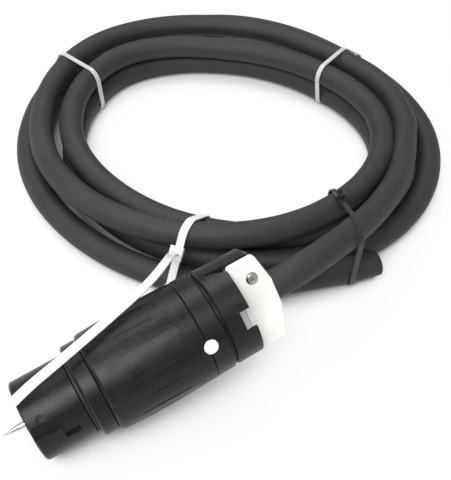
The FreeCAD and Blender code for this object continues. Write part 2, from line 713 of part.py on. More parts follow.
def coil_way(nodes, i):
    """The cable's direction at a node. It climbs there only if its neighbours lie below and above."""
    before = nodes[max(i - 1, 0)]
    after = nodes[min(i + 1, len(nodes) - 1)]
    turns = after[0] - before[0]
    turn, reach, height = nodes[i]
    angle = math.radians(-90 - 360 * turn)
    outward = V(math.cos(angle), math.sin(angle), 0)
    onward = V(math.sin(angle), -math.cos(angle), 0)
    way = onward * (2 * math.pi * reach) + outward * ((after[1] - before[1]) / turns)
    if (after[2] - height) * (height - before[2]) > 0:
        way = way + V(0, 0, (after[2] - before[2]) / turns)
    way.normalize()
    return way


def make_coil_wire():
    """The coil's centre line as pairs of arcs, with a straight end of one diameter at the cut."""
    nodes = coil_nodes()
    points = [coil_point(node) for node in nodes]
    ways = [coil_way(nodes, i) for i in range(len(nodes))]
    lean = math.radians(COIL_END_LEAN)
    ways[-1] = V(-math.sin(lean), -math.cos(lean), 0)
    edges = [Part.LineSegment(points[0] - ways[0] * CABLE_DIAMETER, points[0]).toShape()]
    for i in range(len(nodes) - 1):
        edges += arc_pair(points[i], ways[i], points[i + 1], ways[i + 1])
    end = points[-1] + ways[-1] * CABLE_DIAMETER
    edges.append(Part.LineSegment(points[-1], end).toShape())
    return Part.Wire(Part.__sortEdges__(edges)), end, ways[-1]


def least_gap(wire, radius):
    """The smallest clear distance between parts of a tube that aren't neighbours along it."""
    points = wire.discretize(Number=720)
    step = wire.Length / (len(points) - 1)
    apart = int(4 * radius / step) + 1
    least = 1e9
    for i, a in enumerate(points):
        for b in points[i + apart:]:
            least = min(least, a.distanceToPoint(b))
    return least - 2 * radius


def hull(circles, gap):
    """The tight outline round circles (across, up, radius), as edges of lines and arcs in the XZ plane."""
    samples = 360
    best = []
    for k in range(samples):
        a = 2 * math.pi * k / samples
        reach = [c[0] * math.cos(a) + c[1] * math.sin(a) + c[2] + gap for c in circles]
        best.append(reach.index(max(reach)))
    changes = [k for k in range(samples) if best[k] != best[k - 1] and best[k] == best[(k + 2) % samples]]
    order = [best[k] for k in changes]
    edges = []
    count = len(order)
    tangents = []
    for i in range(count):
        one = circles[order[i - 1]]
        two = circles[order[i]]
        dx = two[0] - one[0]
        dz = two[1] - one[1]
        length = math.hypot(dx, dz)
        lean = math.asin((one[2] - two[2]) / length)
        heading = math.atan2(dz, dx) - math.pi / 2 + lean
        normal = V(math.cos(heading), 0, math.sin(heading))
        tangents.append((heading, V(one[0], 0, one[1]) + normal * (one[2] + gap),
                         V(two[0], 0, two[1]) + normal * (two[2] + gap)))
    for i in range(count):
        heading, first, last = tangents[i]
        edges.append(Part.LineSegment(first, last).toShape())
        following = tangents[(i + 1) % count]
        turn = (following[0] - heading) % (2 * math.pi)
        middle = heading + turn / 2
        circle = circles[order[i]]
        bulge = V(circle[0], 0, circle[1]) + V(math.cos(middle), 0, math.sin(middle)) * (circle[2] + gap)
        edges.append(Part.Arc(last, bulge, following[1]).toShape())
    return Part.Face(Part.Wire(edges))


def bundle(wires, anchor, bearing, width):
    """Circles that hold the tubes where they pass an upright strap at a bearing near the anchor."""
    a = math.radians(bearing)
    across = V(math.cos(a), math.sin(a), 0)
    beside = V(-math.sin(a), math.cos(a), 0)
    found = []
    for wire in wires:
        points = [point - anchor for point in wire.discretize(Number=1440)]
        for one, two in zip(points, points[1:]):
            before = one.dot(beside)
            after = two.dot(beside)
            if (before <= 0 < after or after <= 0 < before) and abs(one.dot(across)) < TIE_REACH:
                point = one + (two - one) * (before / (before - after))
                way = two - one
                way.normalize()
                straight = abs(way.dot(beside))
                aside = way - beside * way.dot(beside)
                stretch = (CABLE_RADIUS * aside.Length / (1 + straight) + width / 2) / straight
                for sign in (-1, 1):
                    centre = point + aside * (sign * stretch)
                    found.append((centre.dot(across), centre.z, CABLE_RADIUS))
    return found


def make_tie(wires, bearing, swing, width, head_at, head_slide, tail):
    """A tie pulled round the tubes at a bearing: strap, square head at an angle of the outline, cut tail."""
    a = math.radians(bearing)
    anchor = V(TIE_ANCHOR_REACH * math.cos(a), TIE_ANCHOR_REACH * math.sin(a), 0)
    circles = bundle(wires, anchor, bearing + swing, width)
    inner = hull(circles, TIE_GAP)
    outer = hull(circles, TIE_GAP + TIE_THICKNESS)
    strap = outer.cut(inner).extrude(V(0, width, 0))
    strap.translate(V(0, -width / 2, 0))
    a = math.radians(head_at)
    way = V(math.cos(a), 0, math.sin(a))
    along = V(math.sin(a), 0, -math.cos(a))
    leader = max(circles, key=lambda c: c[0] * way.x + c[1] * way.z + c[2])
    rise = leader[2] + TIE_GAP + TIE_THICKNESS * 0.5
    place = V(leader[0], 0, leader[1]) + way * rise + along * head_slide
    side = width * TIE_HEAD_SIDE
    depth = TIE_HEAD_DEPTH
    head = block(0, depth, -side / 2, side / 2, -side / 2, side / 2)
    if tail > 0:
        half = TIE_THICKNESS / 2
        head = head.fuse(block(depth - 0.2, depth + tail, -width / 2, width / 2, -half, half))
    head.rotate(V(0, 0, 0), V(0, -1, 0), head_at)
    head.translate(place)
    tie = strap.fuse(head).removeSplitter()
    tie.rotate(V(0, 0, 0), V(0, 0, 1), bearing + swing)
    tie.translate(anchor)
    return tie


def make_tail(points, side):
    """The long free end of the heavy tie, a flat strap along straight runs and arcs."""
    wire = rounded_route(points)[0]
    first = wire.Edges[0]
    way = first.tangentAt(first.FirstParameter)
    across = side - way * side.dot(way)
    across.normalize()
    up = across.cross(way)
    start = first.valueAt(first.FirstParameter)
    width = HEAVY_TIE_WIDTH
    corners = [start + across * (sx * width / 2) + up * (sz * TIE_THICKNESS / 2)
               for sx, sz in ((-1, -1), (1, -1), (1, 1), (-1, 1))]
    profile = Part.makePolygon(corners + [corners[0]])
    return wire.makePipeShell([profile], True, False)


def on_axis(place):
    """A point of the connector's axis as the connector lies, seen from the coil's centre."""
    tilt = math.radians(TILT)
    point = V(place * math.cos(tilt), 0, place * math.sin(tilt) + nose_height)
    point = point - V(COIL_FROM_NOSE[0], COIL_FROM_NOSE[1], 0)
    turn = FreeCAD.Rotation(V(0, 0, 1), -COIL_BEARING)
    return turn.multVec(point)


# Build the connector in its own frame
nose_shell = make_nose_shell()
contact_carrier = make_contact_carrier()
contacts = [make_contact(angle) for angle in contact_angles()]
ground_pin = make_ground_pin()
terminal_screws = make_terminal_screws()
neck_ring = make_neck_ring()
grip = make_grip()
collar = make_collar()
assembly_screws = [make_assembly_screw(i * 360 / ASSEMBLY_SCREW_COUNT) for i in range(ASSEMBLY_SCREW_COUNT)]
cap = make_cap()
jaw = make_jaw()
upper_screw = make_clamp_screw(JAW_TOP - CLAMP_SEAT + RUNNING)
lower_screw = make_clamp_screw(JAW_TOP + RUNNING)
lower_screw.rotate(V(CLAMP_SCREW_PLACE, 0, 0), V(1, 0, 0), 180)
insert_in_cap, insert_in_jaw = make_clamp_inserts()
grommet = make_grommet()
terminal_stop = CARRIER_STOP + 3
jacket_angles = [CORE_START_ANGLE + i * 90 for i in range(4)]
conductors = {"conductor_green": make_conductor(jacket_angles[3], 0, 0, CARRIER_STOP + 4.5)}
for name, jacket_angle, angle in zip(("black", "red", "white"), jacket_angles, contact_angles()):
    conductors["conductor_" + name] = make_conductor(jacket_angle, angle, CONTACT_RADIUS, terminal_stop)

connector = {
    "nose_shell": nose_shell,
    "contact_carrier": contact_carrier,
    "contact_1": contacts[0],
    "contact_2": contacts[1],
    "contact_3": contacts[2],
    "ground_pin": ground_pin,
    "terminal_screws": terminal_screws,
    "neck_ring": neck_ring,
    "grip": grip,
    "collar": collar,
    "assembly_screw_1": assembly_screws[0],
    "assembly_screw_2": assembly_screws[1],
    "assembly_screw_3": assembly_screws[2],
    "clamp_cap": cap,
    "clamp_jaw": jaw,
    "clamp_screw_upper": upper_screw,
    "clamp_screw_lower": lower_screw,
    "insert_in_cap": insert_in_cap,
    "insert_in_jaw": insert_in_jaw,
    "cable_grommet": grommet,
}
connector.update(conductors)

# Lay the connector down with its nose rim on the ground
for shape in connector.values():
    shape.rotate(V(0, 0, 0), V(1, 0, 0), ROLL)
    shape.rotate(V(0, 0, 0), V(0, -1, 0), TILT)
nose_height = -nose_shell.optimalBoundingBox(False).ZMin
for shape in connector.values():
    shape.translate(V(0, 0, nose_height))

# Build cable and ties about the coil's centre
coil_wire, coil_end, coil_end_way = make_coil_wire()
coil = sweep(coil_wire, CABLE_RADIUS)
lead_points = [on_axis(JACKET_END), on_axis(JACKET_END + LEAD_FIRST_RUN)]
lead_points += [V(*corner) for corner in LEAD_CORNERS]
lead_points += [coil_end + coil_end_way * LEAD_LAST_RUN, coil_end]
lead_wire, lead_radii = rounded_route(lead_points)
lead = sweep(lead_wire, CABLE_RADIUS)
wires = [coil_wire, lead_wire]
heavy_tie = make_tie(wires, HEAVY_TIE_BEARING, 0, HEAVY_TIE_WIDTH, HEAVY_TIE_HEAD, HEAVY_TIE_HEAD_SLIDE, 0)
clear_ties = [make_tie(wires, bearing, 0, TIE_WIDTH, CLEAR_TIE_HEAD, 0, CLEAR_TIE_TAIL)
              for bearing in (LEFT_TIE_BEARING, RIGHT_TIE_BEARING)]
black_tie = make_tie(wires, BLACK_TIE_BEARING, BLACK_TIE_SWING, TIE_WIDTH, BLACK_TIE_HEAD, 0, BLACK_TIE_TAIL)
tail = make_tail([V(*corner) for corner in TAIL_CORNERS], V(*TAIL_SIDE))
cord = {
    "cable_coil": coil,
    "cable_lead": lead,
    "heavy_tie": heavy_tie.fuse(tail),
    "clear_tie_left": clear_ties[0],
    "clear_tie_right": clear_ties[1],
    "black_tie": black_tie,
}
for shape in cord.values():
    shape.rotate(V(0, 0, 0), V(0, 0, 1), COIL_BEARING)
    shape.translate(V(COIL_FROM_NOSE[0], COIL_FROM_NOSE[1], 0))

# Put the origin under the middle of the connector and write every piece
boxes = [shape.optimalBoundingBox(False) for shape in connector.values()]
middle_x = (min(box.XMin for box in boxes) + max(box.XMax for box in boxes)) / 2
middle_y = (min(box.YMin for box in boxes) + max(box.YMax for box in boxes)) / 2
pieces = dict(connector, **cord)
for name, shape in pieces.items():
    shape.translate(V(-middle_x, -middle_y, 0))
    save(shape, name)

print("nose face centre", round(-middle_x, 3), round(-middle_y, 3), round(nose_height, 3))
print("cable length", round(coil_wire.Length + lead_wire.Length))
print("lead radii", [round(radius) for radius in lead_radii])
print("least gap of the coil to itself", round(least_gap(coil_wire, CABLE_RADIUS), 2))
for name, shape, wire in (("coil", coil, coil_wire), ("lead", lead, lead_wire)):
    print(name, "volume to section times length",
          round(shape.Volume / (math.pi * CABLE_RADIUS ** 2 * wire.Length), 4))
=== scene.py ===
# %% [markdown]
# # A coiled shore power cord
# A thick rubber cable lies in a coil of about four turns, tied in four places. One end carries a black
# twist-lock connector whose cord clamp has a white nylon jaw; the other end is a bare cut. The imported CAD
# model is the frame: it gives every hard piece its place and shape, and Blender adds the finishes and the
# pieces that are soft or very fine.

# %% Load the imported model
import math

import bmesh
import bpy
from mathutils import Matrix, Vector


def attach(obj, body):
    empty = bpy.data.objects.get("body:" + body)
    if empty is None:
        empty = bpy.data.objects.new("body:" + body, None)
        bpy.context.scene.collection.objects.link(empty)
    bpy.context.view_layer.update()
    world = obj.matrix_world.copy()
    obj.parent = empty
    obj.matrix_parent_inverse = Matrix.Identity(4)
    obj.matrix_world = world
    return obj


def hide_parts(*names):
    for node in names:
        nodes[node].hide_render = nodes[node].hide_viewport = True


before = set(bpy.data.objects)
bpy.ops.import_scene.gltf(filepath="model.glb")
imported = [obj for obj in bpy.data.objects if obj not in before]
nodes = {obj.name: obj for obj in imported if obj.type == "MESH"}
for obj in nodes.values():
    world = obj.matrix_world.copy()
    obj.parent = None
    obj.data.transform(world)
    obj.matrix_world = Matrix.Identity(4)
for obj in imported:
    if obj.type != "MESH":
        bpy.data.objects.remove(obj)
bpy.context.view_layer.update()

# %% [markdown]
# ## Where things lie
# The connector rests on its nose rim and leans back on the cable, so its axis rises 10.6 degrees. The coil
# lies flat, with its right side turned 28.8 degrees from +X. Places could all be written in the scene's
# own coordinates, but then no number would mean anything. So a place on the connector is its distance along
# the axis, from the nose face to the rear, and a place in the coil is measured from the coil's middle.

# %% Directions of connector and coil
TILT = math.radians(10.6)
NOSE_FACE = Vector((-0.089483, 0.0, 0.029759))
AXIS = Vector((math.cos(TILT), 0.0, math.sin(TILT)))
JAW_REAR = 0.1984
COIL_CENTRE = Vector((0.197017, 0.2323, 0.0))
COIL_TURN = Matrix.Rotation(math.radians(-28.8), 3, "Z")


def on_connector(place):
    """A point on the connector's axis, from its distance behind the nose face."""
    return NOSE_FACE + AXIS * place


def on_coil(x, y, z):
    """A point from the coil's centre, with the coil's right side on +x."""
    return COIL_CENTRE + COIL_TURN @ Vector((x, y, z))


print("rear of the jaw", [round(v, 3) for v in on_connector(JAW_REAR)])

# %% [markdown]
# ## Camera
# The photograph looks down at 45 degrees, with the connector's nose at the lower left. A camera can be
# aimed by hand, or its matrix can be built from the three directions of its frame. The matrix is used here,
# because the view was worked out from the ellipse of the coil, and it leaves nothing to a constraint. The
# picture is 451 by 480, so the sensor's 36 mm lie along the taller side.

# %% Set the camera
SENSOR_MM = 36.0
PICTURE_HEIGHT = 480
FOCAL_LENGTH_IN_PIXELS = 820.4
ELEVATION = math.radians(45.01)
CAMERA_PLACE = on_coil(-0.00092, -0.6582, 0.5267)

camera_data = bpy.data.cameras.new("photo_camera")
camera_data.sensor_width = SENSOR_MM
camera_data.lens = SENSOR_MM * FOCAL_LENGTH_IN_PIXELS / PICTURE_HEIGHT
camera = bpy.data.objects.new("photo_camera", camera_data)
bpy.context.collection.objects.link(camera)
bpy.context.scene.camera = camera
right = COIL_TURN @ Vector((1.0, 0.0, 0.0))
up = COIL_TURN @ Vector((0.0, math.sin(ELEVATION), math.cos(ELEVATION)))
back = COIL_TURN @ Vector((0.0, -math.cos(ELEVATION), math.sin(ELEVATION)))
aim = Matrix((right, up, back)).transposed().to_4x4()
camera.matrix_world = Matrix.Translation(CAMERA_PLACE) @ aim
print("camera at", [round(v, 3) for v in camera.location], "lens", round(camera_data.lens, 2))

# %% [markdown]
# ## Small tools for materials
# Each finish is a Principled BSDF with textures in front of it. A few short functions keep the node code
# readable: one starts a material, one adds a node and sets its inputs, one joins two sockets. Textures use
# object coordinates in metres, so that a scale is a real size on every piece.

# %% Material helpers
def start_material(name):
    """A material with only its output and a Principled BSDF, and the node tree to add to."""
    material = bpy.data.materials.new(name)
    material.use_nodes = True
    tree = material.node_tree
    shader = tree.nodes["Principled BSDF"]
    return material, tree, shader


def set_inputs(node, values):
    """Sets a node's inputs by name, with underscores for spaces."""
    for key, value in values.items():
        node.inputs[key.replace("_", " ")].default_value = value


def add_node(tree, kind, settings=None, **values):
    """Adds a node, sets its options, and its inputs by name."""
    node = tree.nodes.new(kind)
    for key, value in (settings or {}).items():
        setattr(node, key, value)
    set_inputs(node, values)
    return node


def join(tree, *pairs):
    """Joins output and input sockets."""
    for output, socket in pairs:
        tree.links.new(output, socket)


def ramp(tree, low, high, dark=0.0, light=1.0):
    """Spreads the values between low and high over dark to light."""
    return add_node(tree, "ShaderNodeMapRange", From_Min=low, From_Max=high, To_Min=dark, To_Max=light)


print("material helpers ready")

# %% [markdown]
# An effect that several finishes share is best kept once. A node group does that: it is a small node tree
# with named inputs and outputs, and each material that places it gives it values of its own.

# %% Node group helpers
def new_group(name, inputs, outputs):
    """A shader node group with float inputs (name, value) and outputs (name, socket type)."""
    group = bpy.data.node_groups.new(name, "ShaderNodeTree")
    for label, value in inputs:
        socket = group.interface.new_socket(name=label, in_out="INPUT", socket_type="NodeSocketFloat")
        socket.default_value = value
    for label, kind in outputs:
        group.interface.new_socket(name=label, in_out="OUTPUT", socket_type=kind)
    start = group.nodes.new("NodeGroupInput")
    end = group.nodes.new("NodeGroupOutput")
    return group, start, end


def use_group(tree, group, **values):
    """Places a node group and sets its inputs by name."""
    node = tree.nodes.new("ShaderNodeGroup")
    node.node_tree = group
    set_inputs(node, values)
    return node


def one_over(tree):
    """A node that turns the size on its second input into a scale."""
    node = add_node(tree, "ShaderNodeMath", {"operation": "DIVIDE"})
    node.inputs[0].default_value = 1.0
    return node


print("group helpers ready")

# %% [markdown]
# ## Grain
# Grain is the fine unevenness of a moulded or extruded skin, and a blotch is a slow change over a few
# centimetres. An image could give both, but a noise has no seams and no end. Two noises are used, each with
# its own size in metres, and a size becomes a scale when one is divided by it.

# %% Grain group
grain, start, end = new_group(
    "moulded_grain",
    [("Size", 0.0008), ("Blotch Size", 0.02)],
    [("Height", "NodeSocketFloat"), ("Blotch", "NodeSocketFloat")],
)
place = grain.nodes.new("ShaderNodeTexCoord")
per_metre = one_over(grain)
blotch_per_metre = one_over(grain)
fine = add_node(grain, "ShaderNodeTexNoise", Detail=6.0, Roughness=0.62)
patches = add_node(grain, "ShaderNodeTexNoise", Detail=4.0, Roughness=0.55)
join(
    grain,
    (start.outputs["Size"], per_metre.inputs[1]),
    (start.outputs["Blotch Size"], blotch_per_metre.inputs[1]),
    (place.outputs["Object"], fine.inputs["Vector"]),
    (place.outputs["Object"], patches.inputs["Vector"]),
    (per_metre.outputs[0], fine.inputs["Scale"]),
    (blotch_per_metre.outputs[0], patches.inputs["Scale"]),
    (fine.outputs["Fac"], end.inputs["Height"]),
    (patches.outputs["Fac"], end.inputs["Blotch"]),
)
print("group", grain.name)

# %% [markdown]
# ## Rub
# Rub is the paler line where an edge has been handled. Pointiness would find edges too, but it depends on
# how dense a mesh is. The Bevel node rounds the normal near an edge instead: the less the rounded normal
# agrees with the real one, the nearer is an edge. A noise keeps the rub to patches.

# %% Rub group
rub, start, end = new_group(
    "edge_rub",
    [("Strength", 1.0), ("Patchiness", 0.6)],
    [("Mask", "NodeSocketFloat")],
)
rounded = add_node(rub, "ShaderNodeBevel", {"samples": 4}, Radius=0.0007)
facing = rub.nodes.new("ShaderNodeNewGeometry")
agree = add_node(rub, "ShaderNodeVectorMath", {"operation": "DOT_PRODUCT"})
edge = ramp(rub, 0.995, 0.85)
place = rub.nodes.new("ShaderNodeTexCoord")
chance = add_node(rub, "ShaderNodeTexNoise", Scale=260.0, Detail=3.0)
patchy = ramp(rub, 0.35, 0.65)
keep = add_node(rub, "ShaderNodeMath", {"operation": "SUBTRACT"})
keep.inputs[0].default_value = 1.0
times = add_node(rub, "ShaderNodeMath", {"operation": "MULTIPLY"})
strong = add_node(rub, "ShaderNodeMath", {"operation": "MULTIPLY", "use_clamp": True})
join(
    rub,
    (rounded.outputs["Normal"], agree.inputs[0]),
    (facing.outputs["Normal"], agree.inputs[1]),
    (agree.outputs["Value"], edge.inputs["Value"]),
    (place.outputs["Object"], chance.inputs["Vector"]),
    (start.outputs["Patchiness"], keep.inputs[1]),
    (keep.outputs[0], patchy.inputs["To Min"]),
    (chance.outputs["Fac"], patchy.inputs["Value"]),
    (edge.outputs["Result"], times.inputs[0]),
    (patchy.outputs["Result"], times.inputs[1]),
    (times.outputs[0], strong.inputs[0]),
    (start.outputs["Strength"], strong.inputs[1]),
    (strong.outputs[0], end.inputs["Mask"]),
)
print("group", rub.name)

# %% [markdown]
# ## Dust
# Dust lies on surfaces that face up, and there in specks. The upward part of the normal says how level a
# place is, and a detailed noise with most of its range cut off makes the specks. The two are multiplied, so
# that neither a steep place nor a gap between specks gets any.

# %% Dust group
dust, start, end = new_group(
    "settled_dust",
    [("Amount", 0.4), ("Speck Size", 0.004)],
    [("Mask", "NodeSocketFloat")],
)
facing = dust.nodes.new("ShaderNodeNewGeometry")
parts = dust.nodes.new("ShaderNodeSeparateXYZ")
upward = ramp(dust, 0.1, 1.0)
place = dust.nodes.new("ShaderNodeTexCoord")
per_metre = one_over(dust)
specks = add_node(dust, "ShaderNodeTexNoise", Detail=8.0, Roughness=0.7)
spread = ramp(dust, 0.42, 0.7)
times = add_node(dust, "ShaderNodeMath", {"operation": "MULTIPLY"})
strong = add_node(dust, "ShaderNodeMath", {"operation": "MULTIPLY", "use_clamp": True})
join(
    dust,
    (facing.outputs["Normal"], parts.inputs["Vector"]),
    (parts.outputs["Z"], upward.inputs["Value"]),
    (start.outputs["Speck Size"], per_metre.inputs[1]),
    (place.outputs["Object"], specks.inputs["Vector"]),
    (per_metre.outputs[0], specks.inputs["Scale"]),
    (specks.outputs["Fac"], spread.inputs["Value"]),
    (upward.outputs["Result"], times.inputs[0]),
    (spread.outputs["Result"], times.inputs[1]),
    (times.outputs[0], strong.inputs[0]),
    (start.outputs["Amount"], strong.inputs[1]),
    (strong.outputs[0], end.inputs["Mask"]),
)
print("group", dust.name)

# %% [markdown]
# ## Plastic and rubber finishes
# Almost every finish here has the same build: a base colour that drifts a little between two tones, grain
# that feeds a Bump node, blotches that change the gloss, rub on the edges and some dust. What differs are
# the numbers, so one function makes them.

# %% One builder for moulded finishes
def moulded(name, colour, drift, rubbed, roughness, grain_size, depth, rub_strength=0.5, dust_amount=0.0,
            dust_colour=(0.35, 0.34, 0.32, 1.0), blotch_size=0.02, **shader_values):
    """A moulded finish: its colour, the tone it drifts to, its rubbed tone, surface sizes, other inputs."""
    material, tree, shader = start_material(name)
    set_inputs(shader, shader_values)
    surface = use_group(tree, grain, Size=grain_size, Blotch_Size=blotch_size)
    worn = use_group(tree, rub, Strength=rub_strength)
    settled = use_group(tree, dust, Amount=dust_amount)
    tone = add_node(tree, "ShaderNodeMix", {"data_type": "RGBA"})
    tone.inputs["A"].default_value = colour
    tone.inputs["B"].default_value = drift
    drifted = ramp(tree, 0.35, 0.65)
    with_rub = add_node(tree, "ShaderNodeMix", {"data_type": "RGBA"})
    with_rub.inputs["B"].default_value = rubbed
    with_dust = add_node(tree, "ShaderNodeMix", {"data_type": "RGBA"})
    with_dust.inputs["B"].default_value = dust_colour
    gloss = ramp(tree, 0.3, 0.7, roughness - 0.05, roughness + 0.06)
    bump = add_node(tree, "ShaderNodeBump", Distance=depth)
    join(
        tree,
        (surface.outputs["Blotch"], drifted.inputs["Value"]),
        (drifted.outputs["Result"], tone.inputs["Factor"]),
        (tone.outputs["Result"], with_rub.inputs["A"]),
        (worn.outputs["Mask"], with_rub.inputs["Factor"]),
        (with_rub.outputs["Result"], with_dust.inputs["A"]),
        (settled.outputs["Mask"], with_dust.inputs["Factor"]),
        (with_dust.outputs["Result"], shader.inputs["Base Color"]),
        (surface.outputs["Blotch"], gloss.inputs["Value"]),
        (gloss.outputs["Result"], shader.inputs["Roughness"]),
        (surface.outputs["Height"], bump.inputs["Height"]),
        (bump.outputs["Normal"], shader.inputs["Normal"]),
    )
    return material


print("builder ready for", grain.name, rub.name, dust.name)

# %% [markdown]
# The connector's casings are black nylon, satin, with soft highlights. Its jaw and its assembly screws are
# white nylon, which lets a little light in under its skin, so it gets some subsurface scattering. Black
# could be pure, but no real plastic is: a trace of violet keeps it from looking like a hole.

# %% Nylon of the connector
black_nylon = moulded(
    "black_nylon", (0.005, 0.0048, 0.006, 1), (0.009, 0.0085, 0.0105, 1), (0.06, 0.058, 0.065, 1),
    roughness=0.35, grain_size=0.0011, depth=0.00005, rub_strength=0.5, dust_amount=0.04,
    Specular_IOR_Level=0.26)
white_nylon = moulded(
    "white_nylon", (0.93, 0.925, 0.905, 1), (0.85, 0.845, 0.82, 1), (0.93, 0.93, 0.91, 1),
    roughness=0.38, grain_size=0.0016, depth=0.00004, rub_strength=0.3, dust_amount=0.03,
    Subsurface_Weight=0.12, Subsurface_Radius=(0.003, 0.003, 0.0025))
print("nylon", black_nylon.name, white_nylon.name)

# %% [markdown]
# The cable's jacket is heavy rubber: matt, lighter than the nylon, and dusty on top, because rubber holds
# what falls on it. It has no edges, so it needs no rub. The ring and the grommet in the connector are a
# blacker rubber that never sees dust.

# %% Rubber of cable and seals
cable_rubber = moulded(
    "cable_rubber", (0.021, 0.0197, 0.0222, 1), (0.030, 0.0283, 0.0308, 1), (0.06, 0.058, 0.058, 1),
    roughness=0.6, grain_size=0.0009, depth=0.0001, rub_strength=0.0, dust_amount=0.1,
    dust_colour=(0.16, 0.155, 0.14, 1), blotch_size=0.03, Specular_IOR_Level=0.4)
seal_rubber = moulded(
    "seal_rubber", (0.012, 0.012, 0.012, 1), (0.02, 0.02, 0.02, 1), (0.05, 0.05, 0.05, 1),
    roughness=0.6, grain_size=0.0008, depth=0.00005, rub_strength=0.2)
print("rubber", cable_rubber.name, seal_rubber.name)

# %% [markdown]
# The ties are thin nylon, glossier than the connector. The heavy one is milky white and glows a little
# where light enters it. The two thin ones at the back are nearly clear: real glass-like transmission would
# look wet, so only a quarter of their light goes through.

# %% Nylon of the ties
black_tie_nylon = moulded(
    "black_tie_nylon", (0.012, 0.012, 0.013, 1), (0.018, 0.018, 0.019, 1), (0.08, 0.08, 0.08, 1),
    roughness=0.34, grain_size=0.0006, depth=0.00003, rub_strength=0.5)
white_tie_nylon = moulded(
    "white_tie_nylon", (0.84, 0.84, 0.82, 1), (0.8, 0.8, 0.78, 1), (0.92, 0.92, 0.9, 1),
    roughness=0.32, grain_size=0.0014, depth=0.00003, rub_strength=0.3,
    Subsurface_Weight=0.2, Subsurface_Radius=(0.003, 0.003, 0.0025))
clear_tie_nylon = moulded(
    "clear_tie_nylon", (0.72, 0.73, 0.7, 1), (0.66, 0.67, 0.64, 1), (0.85, 0.85, 0.83, 1),
    roughness=0.3, grain_size=0.001, depth=0.00003, rub_strength=0.3, Transmission_Weight=0.25)
print("ties", black_tie_nylon.name, white_tie_nylon.name, clear_tie_nylon.name)

# %% [markdown]
# The four cores have insulation in the usual four colours. They are one finish four times over, so a loop
# makes them, and each drifts to a paler tone of its own colour.

# %% Insulation of the cores
CORE_COLOURS = {
    "black": (0.014, 0.014, 0.014, 1), "red": (0.42, 0.02, 0.015, 1),
    "white": (0.78, 0.78, 0.75, 1), "green": (0.03, 0.24, 0.07, 1),
}
core_finishes = {}
for core, colour in CORE_COLOURS.items():
    paler = tuple(min(1.0, channel * 1.3 + 0.01) for channel in colour[:3]) + (1,)
    core_finishes[core] = moulded(
        "core_" + core, colour, paler, paler, roughness=0.35, grain_size=0.001, depth=0.00003,
        rub_strength=0.1)
print("core finishes", len(core_finishes))

# %% [markdown]
# ## Metal finishes
# The clamp screws, the terminal screws and the centre pin are nickel plated, and the contacts and inserts
# are brass. Turned metal shows fine lines across its roughness, so a noise stretched along one direction
# feeds the roughness and a very shallow bump, and a large soft noise darkens the colour a little where the
# plating has dulled.

# %% Nickel, brass and copper
LINES_PER_METRE = 2500.0
STREAKS_PER_METRE = 40.0


def turned_metal(name, bright, dull, roughness):
    """A metal with fine tooling lines, duller in patches."""
    material, tree, shader = start_material(name)
    shader.inputs["Metallic"].default_value = 1.0
    surface = use_group(tree, grain, Size=0.0012, Blotch_Size=0.006)
    place = tree.nodes.new("ShaderNodeTexCoord")
    squeezed = add_node(
        tree, "ShaderNodeMapping", Scale=(LINES_PER_METRE, STREAKS_PER_METRE, STREAKS_PER_METRE))
    lines = add_node(tree, "ShaderNodeTexNoise", Scale=1.0, Detail=3.0)
    tone = add_node(tree, "ShaderNodeMix", {"data_type": "RGBA"})
    tone.inputs["A"].default_value = bright
    tone.inputs["B"].default_value = dull
    patches = ramp(tree, 0.45, 0.75)
    gloss = ramp(tree, 0.3, 0.7, roughness - 0.08, roughness + 0.12)
    bump = add_node(tree, "ShaderNodeBump", Distance=0.00002)
    join(
        tree,
        (place.outputs["Object"], squeezed.inputs["Vector"]),
        (squeezed.outputs["Vector"], lines.inputs["Vector"]),
        (lines.outputs["Fac"], gloss.inputs["Value"]),
        (lines.outputs["Fac"], bump.inputs["Height"]),
        (surface.outputs["Blotch"], patches.inputs["Value"]),
        (patches.outputs["Result"], tone.inputs["Factor"]),
        (tone.outputs["Result"], shader.inputs["Base Color"]),
        (gloss.outputs["Result"], shader.inputs["Roughness"]),
        (bump.outputs["Normal"], shader.inputs["Normal"]),
    )
    return material


nickel = turned_metal("nickel", (0.62, 0.6, 0.56, 1), (0.4, 0.385, 0.35, 1), 0.26)
brass = turned_metal("brass", (0.7, 0.5, 0.22, 1), (0.42, 0.29, 0.12, 1), 0.3)
copper = turned_metal("copper", (0.78, 0.4, 0.24, 1), (0.4, 0.18, 0.1, 1), 0.32)
print("metals", nickel.name, brass.name, copper.name)

# %% [markdown]
# ## Finish the hard pieces
# The casings, the jaw, the screws and the metal inside are hard, and the CAD nodes already have their true
# shape. They could be modelled again here, but a second shape can only drift away from the first. So each
# node keeps its mesh and only gets its finish, through its material slots.

# %% Give each CAD node its finish
nodes_by_finish = [
    (black_nylon, ["nose_shell", "contact_carrier", "grip", "collar", "clamp_cap"]),
    (white_nylon, ["clamp_jaw", "assembly_screw_1", "assembly_screw_2", "assembly_screw_3"]),
    (seal_rubber, ["neck_ring", "cable_grommet"]),
    (brass, ["contact_1", "contact_2", "contact_3", "insert_in_cap", "insert_in_jaw"]),
    (nickel, ["ground_pin", "terminal_screws", "clamp_screw_upper", "clamp_screw_lower"]),
]
nodes_by_finish += [(finish, ["conductor_" + core]) for core, finish in core_finishes.items()]
for finish, names in nodes_by_finish:
    for name in names:
        piece = nodes[name]
        piece.data.materials.clear()
        piece.data.materials.append(finish)
print("finished CAD nodes", sum(len(names) for finish, names in nodes_by_finish))

# %% [markdown]
# ## The cable
# The whole cable, from inside the clamp to its cut end, is one NURBS curve with a round bevel. The coil
# starts at the cut end, lies two turns on the ground, climbs onto itself at the front and comes off towards
# the clamp after two more turns. A coil tied by hand is never a true circle, so how far it reaches from its
# middle is listed turn by turn at eight bearings: front, front left, left, back left, back, back right,
# right and front right. Where it climbs, its rise above the lowest loops is listed too.

